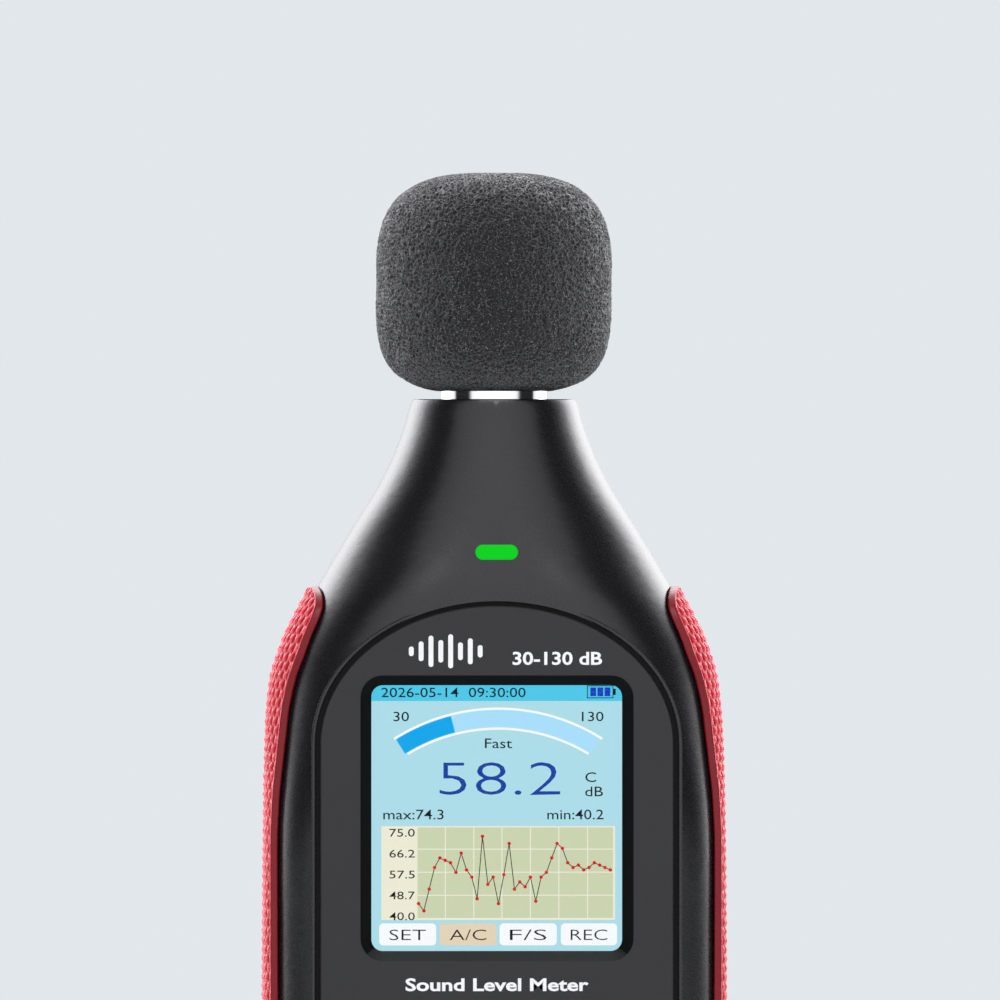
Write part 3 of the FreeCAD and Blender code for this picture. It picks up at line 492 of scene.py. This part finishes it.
def grip_row(z, front, back, columns):
    """One closed ring of the grip and the relief at each point of it.

    The ring runs over the front wall, the knurled outside, the back wall and the inside.
    """
    y0 = read_line(front, z)
    y1 = read_line(back, z)
    ring = []
    tips = [0.0] * WALL_STEPS
    rise = GRIP_THICK - GRIP_ROLL - GRIP_GAP
    for k in range(WALL_STEPS):
        g = GRIP_GAP + rise * k / (WALL_STEPS - 1)
        ring.append((side_x(z, y0, g), y0))
    arc = 0.0
    before = None
    raw = []
    for k in range(columns + 1):
        y = y0 + (y1 - y0) * k / columns
        x = side_x(z, y, GRIP_THICK)
        if before:
            arc += math.hypot(x - before[0], y - before[1])
        before = (x, y)
        raw.append((x, y, arc))
    middle = min(raw, key=lambda p: abs(p[1]))[2]
    for k, (x, y, s) in enumerate(raw):
        edge = min(s, arc - s, (GRIP_TOP - z) * 1.2)
        fade = min(max((edge - GRIP_ROLL) / 0.3, 0.0), 1.0)
        height = knurl_height(s - middle, z)
        sink = KNURL_DEPTH * (1 - height) * fade + GRIP_ROLL * (edge < GRIP_ROLL)
        tips.append(height * fade + 0.5 * (1 - fade))
        near, far = raw[max(k - 1, 0)], raw[min(k + 1, columns)]
        step = math.hypot(far[0] - near[0], far[1] - near[1])
        ring.append((x - sink * (far[1] - near[1]) / step, y + sink * (far[0] - near[0]) / step))
    for k in range(WALL_STEPS):
        g = GRIP_THICK - GRIP_ROLL - rise * k / (WALL_STEPS - 1)
        ring.append((side_x(z, y1, g), y1))
    for k in range(1, 12):
        y = y1 + (y0 - y1) * k / 12
        inset = GRIP_GAP if k in (1, 11) else 0.05
        ring.append((side_x(z, y, inset), y))
    return ring, tips + [0.0] * (len(ring) - len(tips))


def build_grip(side, name, material, flange):
    """Side grip: rings stacked from its foot to its top; side is -1 for left and 1 for right."""
    front, back = grip_sides()
    top = front[-1][0]
    points = []
    tips = []
    for i in range(GRIP_ROWS + 1):
        z = GRIP_LOW + 0.02 + (top - GRIP_LOW - 0.04) * i / GRIP_ROWS
        ring, heights = grip_row(z, front, back, GRIP_COLUMNS)
        points += [(side * x * MM, y * MM, z * MM) for x, y in ring]
        tips += heights
    width = len(points) // (GRIP_ROWS + 1)
    faces = []
    for i in range(GRIP_ROWS):
        for j in range(width):
            a = i * width + j
            b = i * width + (j + 1) % width
            quad = (a, b, b + width, a + width)
            faces.append(quad if side > 0 else quad[::-1])
    low = tuple(range(width))
    high = tuple(range(GRIP_ROWS * width, (GRIP_ROWS + 1) * width))
    faces.append(low[::-1] if side > 0 else low)
    faces.append(high if side > 0 else high[::-1])
    obj = mesh_object(name, points, faces, material)
    obj.data.materials.append(flange)
    # relief height, which the rubber turns into painted shade in the valleys and a painted highlight on
    # the ridges
    obj.data.attributes.new("knurl", "FLOAT", "POINT").data.foreach_set("value", tips)
    # the front and back walls and the inside take the darker rubber, painted shade
    for face in obj.data.polygons[:GRIP_ROWS * width]:
        spot = face.index % width
        face.material_index = int(spot < WALL_STEPS or spot >= WALL_STEPS + GRIP_COLUMNS + 1)
    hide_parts(name.replace("_rubber", ""))
    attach(obj, "case")
    return obj


def foam_profile(count):
    """Outline of the foam from the bore mouth, down, out, up and in to the axis."""
    middle = (FOAM_LOW + FOAM_HIGH) / 2
    half = (FOAM_HIGH - FOAM_LOW) / 2
    line = [(FOAM_BORE + 0.05, FOAM_LOW + 20.0), (FOAM_BORE + 0.05, FOAM_LOW + 6.0),
            (FOAM_BORE + 0.05, FOAM_LOW + 1.0), (FOAM_BORE + 0.2, FOAM_LOW + 0.3)]
    dense = []
    low, high = 2 / FOAM_LOWER, 2 / FOAM_UPPER
    for k in range(400):
        a = math.pi / 2 * k / 400
        dense.append((FOAM_RADIUS * math.sin(a) ** low, middle - half * math.cos(a) ** low))
    for k in range(401):
        a = math.pi / 2 * k / 400
        dense.append((FOAM_RADIUS * math.cos(a) ** high, middle + half * math.sin(a) ** high))
    dense = [p for p in dense if p[0] > FOAM_BORE + 0.6 or p[1] > middle]
    lengths = [0.0]
    for a, b in zip(dense, dense[1:]):
        lengths.append(lengths[-1] + math.hypot(b[0] - a[0], b[1] - a[1]))
    for k in range(count + 1):
        s = lengths[-1] * k / count
        line.append((float(np.interp(s, lengths, [p[0] for p in dense])),
                     float(np.interp(s, lengths, [p[1] for p in dense]))))
    return line


def foam_pit(p):
    """Depth of the open pores at a point, 0 on the cell walls, on a slightly uneven surface."""
    distances = noise.voronoi(p / FOAM_CELL, distance_metric="DISTANCE", exponent=2.5)[0]
    wall = min((distances[1] - distances[0]) / FOAM_WALL, 1.0)
    swell = noise.noise(p / 5.0) * FOAM_SWELL
    return FOAM_PIT * (wall ** 0.8) - swell


def build_foam(material):
    """Windscreen foam: the outline turned about the axis, with its pores pressed in."""
    around = 520
    up = 250
    line = foam_profile(up)
    points = []
    for i, (r, z) in enumerate(line[:-1]):
        slope = Vector((line[i + 1][1] - line[i - 1 if i else 0][1],
                        -(line[i + 1][0] - line[i - 1 if i else 0][0])))
        normal = slope.normalized() if slope.length > 0 else Vector((1, 0))
        for k in range(around):
            a = 2 * math.pi * k / around
            p = Vector((r * math.cos(a), r * math.sin(a), z))
            sink = max(foam_pit(p), 0.0) if i > 3 else 0.0
            q = (r - sink * normal.x, z - sink * normal.y)
            points.append((q[0] * math.cos(a) * MM, q[0] * math.sin(a) * MM, q[1] * MM))
    rows = len(line) - 1
    faces = []
    for i in range(rows - 1):
        for k in range(around):
            a = i * around + k
            b = i * around + (k + 1) % around
            faces.append((a, b, b + around, a + around))
    points.append((0, 0, (FOAM_HIGH - 0.2) * MM))
    tip = len(points) - 1
    top = (rows - 1) * around
    faces += [(top + k, top + (k + 1) % around, tip) for k in range(around)]
    faces.append(tuple(range(around))[::-1])
    obj = mesh_object("windscreen_foam", points, faces, material)
    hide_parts("windscreen")
    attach(obj, "windscreen")
    return obj


# ---------- display, prints and painted shade ---

class Sheet:
    """Collects flat artwork of one colour in a plane that faces the front."""

    def __init__(self, name, depth, material, slot):
        self.name = name
        self.depth = depth
        self.material = material
        self.slot = slot
        self.points = []
        self.faces = []

    def outline(self, pts):
        start = len(self.points)
        self.points += [(x * MM, self.depth * MM, z * MM) for x, z in pts]
        self.faces.append(tuple(range(start, start + len(pts))))

    def bar(self, x0, x1, z0, z1):
        self.outline([(x0, z0), (x1, z0), (x1, z1), (x0, z1)])

    def rounded(self, x0, x1, z0, z1, r):
        pts = []
        for cx, cz, start in [(x1 - r, z0 + r, -90), (x1 - r, z1 - r, 0), (x0 + r, z1 - r, 90),
                              (x0 + r, z0 + r, 180)]:
            for k in range(7):
                a = math.radians(start + 15 * k)
                pts.append((cx + r * math.cos(a), cz + r * math.sin(a)))
        self.outline(pts)

    def stroke(self, pts, width):
        for (x0, z0), (x1, z1) in zip(pts, pts[1:]):
            d = Vector((x1 - x0, z1 - z0))
            if d.length == 0:
                continue
            n = Vector((-d.y, d.x)).normalized() * width / 2
            self.outline([(x0 - n.x, z0 - n.y), (x1 - n.x, z1 - n.y), (x1 + n.x, z1 + n.y),
                          (x0 + n.x, z0 + n.y)])

    def arc_band(self, cx, cz, r0, r1, a0, a1, steps=40):
        """Band between two radii; angles in degrees from straight up, to the right."""
        for k in range(steps):
            a = math.radians(a0 + (a1 - a0) * k / steps)
            b = math.radians(a0 + (a1 - a0) * (k + 1) / steps)
            self.outline([(cx + r0 * math.sin(a), cz + r0 * math.cos(a)),
                          (cx + r0 * math.sin(b), cz + r0 * math.cos(b)),
                          (cx + r1 * math.sin(b), cz + r1 * math.cos(b)),
                          (cx + r1 * math.sin(a), cz + r1 * math.cos(a))])

    def disc(self, cx, cz, r, steps=12):
        turns = [2 * math.pi * k / steps for k in range(steps)]
        self.outline([(cx + r * math.cos(a), cz + r * math.sin(a)) for a in turns])

    def text(self, words, cx, cz, height, width=None, weight=0.0, anchor=0.5):
        """Lettering centred at (cx, cz); height is that of the capitals and width fits the whole."""
        curve = bpy.data.curves.new("lettering", "FONT")
        curve.body = words
        curve.size = 1.0
        curve.offset = weight
        curve.resolution_u = 3
        obj = bpy.data.objects.new("lettering", curve)
        bpy.context.scene.collection.objects.link(obj)
        bpy.context.view_layer.update()
        graph = bpy.context.evaluated_depsgraph_get()
        mesh = bpy.data.meshes.new_from_object(obj.evaluated_get(graph))
        xs = [v.co.x for v in mesh.vertices]
        low, high = min(xs), max(xs)
        scale = height / CAP_HEIGHT
        wide = width / (high - low) if width else scale * WIDE_TYPE
        shift = low + (high - low) * anchor
        start = len(self.points)
        for v in mesh.vertices:
            self.points.append(((cx + (v.co.x - shift) * wide) * MM, self.depth * MM,
                                (cz + (v.co.y - CAP_HEIGHT / 2) * scale) * MM))
        self.faces += [tuple(start + i for i in p.vertices) for p in mesh.polygons]
        bpy.data.objects.remove(obj)
        bpy.data.curves.remove(curve)
        bpy.data.meshes.remove(mesh)

    def finish(self, body="case"):
        obj = mesh_object(self.name, self.points, self.faces, self.material, smooth=False)
        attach(obj, body)
        return obj


def screen(u, v):
    """Display position, in mm from the upper left corner, as (x, z)."""
    return (u - SCREEN_W / 2, SCREEN_Z + SCREEN_H / 2 - v)


def screen_sheet(name, level, colour):
    material = lit_material("screen_" + name, colour)
    return Sheet("screen_" + name, SCREEN_Y - LAYER * level - 0.012, material, "lcd_glass")


def screen_box(sheet, u0, u1, v0, v1, r=0.0):
    x0, z1 = screen(u0, v0)
    x1, z0 = screen(u1, v1)
    if r:
        sheet.rounded(x0, x1, z0, z1, r)
    else:
        sheet.bar(x0, x1, z0, z1)


# levels in dB along the chart, and the labels of the soft keys with their left and right ends
READINGS = [45, 42, 51, 60, 64, 63, 62, 58, 66, 59, 56, 47, 73, 53, 56, 45, 57, 70, 51, 54, 52, 56,
            46, 56, 58, 64, 70, 68, 62, 60, 61, 59, 60, 62, 61, 60, 59]
SOFT_LABELS = [("SET", 1.2, 9.6), ("A/C", 10.1, 18.5), ("F/S", 18.95, 27.4), ("REC", 28.0, 36.3)]


def draw_screen():
    back = screen_sheet("background", 0, srgb(176, 224, 236))
    screen_box(back, -0.3, SCREEN_W + 0.3, -0.3, SCREEN_H + 0.3)
    band = screen_sheet("header", 1, srgb(78, 202, 234))
    screen_box(band, -0.3, SCREEN_W + 0.3, -0.3, 2.55)
    cream = screen_sheet("chart_frame", 1, srgb(242, 238, 216))
    screen_box(cream, 1.5, 36.0, 21.0, 34.85)
    pale = screen_sheet("gauge_track", 1, srgb(172, 226, 255))
    gx, gz = screen(18.75, 32.35)
    pale.arc_band(gx, gz, 25.8, 28.6, -32.0, 32.0)
    white = screen_sheet("white", 2, srgb(252, 254, 255))
    white.arc_band(gx, gz, 28.5, 28.85, -32.4, 32.4)
    white.arc_band(gx, gz, 25.55, 25.9, -31.2, 31.2)
    tan = screen_sheet("selected", 2, srgb(232, 214, 186))
    for i, (words, u0, u1) in enumerate(SOFT_LABELS):
        screen_box(tan if i == 1 else white, u0, u1, 35.35, 38.6, 0.6)
    blue = screen_sheet("gauge_fill", 3, srgb(0, 168, 240))
    blue.arc_band(gx, gz, 25.95, 28.45, -32.0, -14.2)
    plot = screen_sheet("plot", 2, srgb(207, 215, 178))
    screen_box(plot, 6.85, 35.7, 21.2, 34.55)
    grid = screen_sheet("grid", 3, srgb(240, 240, 222))
    for u in (10.95, 15.15, 19.3, 23.5, 27.7, 31.95):
        screen_box(grid, u - 0.07, u + 0.07, 21.2, 34.55)
    for v in (24.4, 27.8, 31.2):
        screen_box(grid, 6.85, 35.7, v - 0.07, v + 0.07)
    trace = screen_sheet("trace", 4, srgb(40, 40, 30))
    red = screen_sheet("samples", 5, srgb(222, 22, 28))
    pts = [screen(7.0 + 28.3 * i / (len(READINGS) - 1), 34.2 - (r - 40) / 35 * 12.4)
           for i, r in enumerate(READINGS)]
    trace.stroke(pts, 0.13)
    for x, z in pts:
        red.disc(x, z, 0.27)
    cell = screen_sheet("battery", 4, srgb(18, 60, 190))
    for k in range(3):
        screen_box(cell, 32.35 + 1.05 * k, 33.2 + 1.05 * k, 0.55, 1.85)
    edge = screen_sheet("lettering", 4, srgb(14, 20, 26))
    for u0, u1, v0, v1 in [(31.85, 35.75, 0.25, 0.37), (31.85, 35.75, 2.03, 2.15),
                           (31.85, 31.97, 0.25, 2.15), (35.63, 35.75, 0.25, 2.15),
                           (35.75, 36.1, 0.75, 1.65)]:
        screen_box(edge, u0, u1, v0, v1)
    for words, u, v, height, width, anchor in [
            ("2026-05-14  09:30:00", 1.5, 1.25, 1.45, 21.3, 0.0), ("30", 3.3, 4.8, 1.45, None, 0.0),
            ("130", 34.3, 4.8, 1.45, None, 1.0), ("Fast", 18.8, 8.75, 1.5, None, 0.5),
            ("C", 32.4, 13.75, 1.5, None, 0.5), ("dB", 32.9, 15.85, 1.5, None, 0.5),
            ("max:74.3", 1.8, 19.25, 1.5, 8.9, 0.0), ("min:40.2", 34.3, 19.25, 1.5, 8.3, 1.0)]:
        x, z = screen(u, v)
        edge.text(words, x, z, height, width, 0.002, anchor)
    for k, words in enumerate(["75.0", "66.2", "57.5", "48.7", "40.0"]):
        x, z = screen(6.45, 21.95 + 3.08 * k)
        edge.text(words, x, z, 1.2, 3.75, 0.002, 1.0)
    for words, u0, u1 in SOFT_LABELS:
        x, z = screen((u0 + u1) / 2, 37.0)
        edge.text(words, x, z, 1.65, 5.4, -0.008, 0.5)
    value = screen_sheet("value", 3, srgb(20, 64, 162))
    x, z = screen(19.0, 13.85)
    value.text("58.2", x, z, 5.15, 17.8, -0.014, 0.5)
    for sheet in (back, band, cream, pale, white, tan, blue, plot, grid, trace, red, cell, edge, value):
        sheet.finish()


def recess_ring(width, height, radius, y):
    """Rounded rectangle round the display at depth y, as points in order."""
    ring = []
    for sx, sz, start in [(1, -1, -90), (1, 1, 0), (-1, 1, 90), (-1, -1, 180)]:
        cx = sx * (width / 2 - radius)
        cz = RECESS_Z + sz * (height / 2 - radius)
        for k in range(9):
            a = math.radians(start + 90 * k / 8)
            ring.append(((cx + radius * math.cos(a)) * MM, y * MM, (cz + radius * math.sin(a)) * MM))
    return ring


def draw_border(m):
    """Painted shade: a black sheet on the upper and side slopes of the display recess, left off its lit
    bottom slope.
    """
    outer = recess_ring(*BORDER_MOUTH)
    inner = recess_ring(*BORDER_FOOT)
    count = len(outer)
    faces = []
    for k in range(count):
        n = (k + 1) % count
        low = (outer[k][2] + outer[n][2]) / 2 < BORDER_END_Z * MM
        if not low:
            faces.append((k, n, count + n, count + k))
    obj = mesh_object("display_border", outer + inner, faces, m["border"], smooth=False)
    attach(obj, "case")


def panel_outline(grow, y):
    """Arched outline of the face panel, swollen by grow, as points in order."""
    wide, rise = PANEL_HALF + grow, PANEL_RISE + grow
    corner = PANEL_CORNER + grow
    low = PANEL_BOTTOM - grow
    line = [(wide * math.cos(math.pi * k / 96), PANEL_SPRING + rise * math.sin(math.pi * k / 96))
            for k in range(97)]
    for sx in (-1, 1):
        for k in range(17):
            a = math.pi / 2 * (k if sx < 0 else 16 - k) / 16
            line.append((sx * (wide - corner + corner * math.cos(a)), low + corner - corner * math.sin(a)))
    return [(x * MM, y * MM, z * MM) for x, z in line]


def draw_groove(m):
    """Painted shade: a flat black ring in the groove between the face panel and the case, over its uneven
    floor.
    """
    inner = panel_outline(0.0, GROOVE_Y)
    outer = panel_outline(PANEL_GAP, GROOVE_Y)
    count = len(inner)
    faces = [(k, (k + 1) % count, count + (k + 1) % count, count + k) for k in range(count)]
    obj = mesh_object("panel_groove_shade", inner + outer, faces, m["border"], smooth=False)
    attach(obj, "case")


def draw_prints(m):
    ink = Sheet("panel_print", PRINT_Y, m["print"], "white_plastic")
    for k, tall in enumerate([1.4, 2.9, 4.6, 3.3, 5.0, 2.6, 3.8, 1.8]):
        x = -13.0 + 1.45 * k
        ink.rounded(x, x + 0.72, 129.2 - tall / 2, 129.2 + tall / 2, 0.34)
    ink.text("30-130 dB", 8.9, 128.2, 1.9, 13.2, 0.022)
    ink.text("Sound Level Meter", 0.0, 80.1, 1.85, 27.0, 0.026)
    ink.text("HOLD", ROUND_KEY_X, 40.9, 1.4, None, 0.015)
    ink.finish()
    draw_key_marks(m)


def key_mark(key, m):
    return Sheet(key + "_mark", KEY_MARK_Y, m["print"], "white_plastic")


def draw_key_marks(m):
    power = key_mark("power", m)
    power.arc_band(-ROUND_KEY_X, ROUND_KEY_Z, 1.55, 1.95, 35, 325, 48)
    power.bar(-ROUND_KEY_X - 0.2, -ROUND_KEY_X + 0.2, ROUND_KEY_Z + 0.2, ROUND_KEY_Z + 2.3)
    power.finish("power_button")
    hold = key_mark("hold", m)
    hold.text("H", ROUND_KEY_X, ROUND_KEY_Z, 3.0, None, 0.015)
    hold.finish("hold_button")
    for key, x in zip(KEYS[:4], SOFT_KEYS_X):
        mark = key_mark(key, m)
        mark.rounded(x - 1.3, x + 1.3, SOFT_KEYS_Z - 0.25, SOFT_KEYS_Z + 0.25, 0.24)
        mark.finish(key + "_button")


# ---------- studio ----------

def floor():
    half = 2.5
    points = [(sx * half, sy * half, -0.0002) for sx, sy in [(-1, -1), (1, -1), (1, 1), (-1, 1)]]
    material = moulded("floor_pale", (0.5, 0.51, 0.52, 1), (0.48, 0.49, 0.5, 1), (0.7, 0.8), 4.0, 0.0)
    obj = mesh_object("floor", points, [(0, 1, 2, 3)], material, smooth=False)


# brightness of the surround from the front of the object, 0, to behind it, 1
SURROUND = [(0.0, 1.45), (0.067, 1.3), (0.179, 1.05), (0.206, 0.5), (0.235, 0.06), (0.265, 0.02),
            (0.525, 0.02), (0.56, 0.85), (0.64, 1.3), (0.69, 3.2), (0.74, 6.2), (0.854, 6.6),
            (0.933, 4.0), (0.983, 1.8), (1.0, 1.0)]
SURROUND_PEAK = 6.6
BACKDROP = (0.76, 0.8, 0.83, 1.0)


def world_light():
    """Soft surround: a broad light, dark flanks and a bright ring; the camera sees a pale backdrop."""
    world = bpy.data.worlds.new("studio")
    bpy.context.scene.world = world
    world.use_nodes = True
    nodes = world.node_tree.nodes
    links = world.node_tree.links
    lit = nodes["Background"]
    place = nodes.new("ShaderNodeTexCoord")
    split = nodes.new("ShaderNodeSeparateXYZ")
    shift = nodes.new("ShaderNodeMapRange")
    shift.inputs["From Min"].default_value = -1.0
    shift.inputs["From Max"].default_value = 1.0
    tone = nodes.new("ShaderNodeValToRGB")
    elements = tone.color_ramp.elements
    while len(elements) < len(SURROUND):
        elements.new(0.5)
    for element, (at, level) in zip(elements, SURROUND):
        element.position = at
        grey = level / SURROUND_PEAK
        element.color = (grey, grey, grey * 1.02, 1)
    links.new(place.outputs["Generated"], split.inputs[0])
    links.new(split.outputs["Y"], shift.inputs["Value"])
    links.new(shift.outputs[0], tone.inputs[0])
    links.new(tone.outputs[0], lit.inputs["Color"])
    lit.inputs["Strength"].default_value = SURROUND_PEAK
    plain = nodes.new("ShaderNodeBackground")
    plain.inputs["Color"].default_value = BACKDROP
    path = nodes.new("ShaderNodeLightPath")
    mix = nodes.new("ShaderNodeMixShader")
    links.new(path.outputs["Is Camera Ray"], mix.inputs["Fac"])
    links.new(lit.outputs[0], mix.inputs[1])
    links.new(plain.outputs[0], mix.inputs[2])
    links.new(mix.outputs[0], nodes["World Output"].inputs["Surface"])


def soft_light(name, place, target, wide, tall, radiance):
    data = bpy.data.lights.new(name, "AREA")
    data.shape = "RECTANGLE"
    data.size = wide
    data.size_y = tall
    data.energy = radiance * math.pi * wide * tall
    obj = bpy.data.objects.new(name, data)
    bpy.context.scene.collection.objects.link(obj)
    obj.location = place
    aim = (Vector(target) - Vector(place)).normalized()
    obj.rotation_euler = aim.to_track_quat("-Z", "Y").to_euler()


def studio():
    floor()
    world_light()
    target = (0, 0, 0.12)
    soft_light("front_soft", (0.0, -1.5, 1.6), target, 1.2, 0.8, 4.5)
    soft_light("top_soft", (0.0, -0.1, 1.5), target, 0.9, 0.9, 1.3)


def camera():
    """Long lens, nearly parallel, level and turned a little; 0.148 m of height fills the frame."""
    data = bpy.data.cameras.new("camera")
    data.lens = 1000
    data.sensor_width = 36
    obj = bpy.data.objects.new("camera", data)
    bpy.context.scene.collection.objects.link(obj)
    turn = math.radians(-1.6)
    reach = 0.148 * data.lens / data.sensor_width
    aim = Vector((0.0009, 0, 0.1515))
    obj.location = aim + Vector((math.sin(turn), -math.cos(turn), 0)) * reach
    obj.rotation_euler = (math.pi / 2, 0, turn)
    data.clip_end = 100
    bpy.context.scene.camera = obj
    bpy.context.scene.view_settings.view_transform = "Standard"


looks = make_materials()
dress_cad(looks)
build_grip(-1, "left_grip_rubber", looks["red"], looks["flange"])
build_grip(1, "right_grip_rubber", looks["red"], looks["flange"])
build_foam(looks["foam"])
draw_screen()
draw_prints(looks)
draw_border(looks)
draw_groove(looks)
studio()
camera()
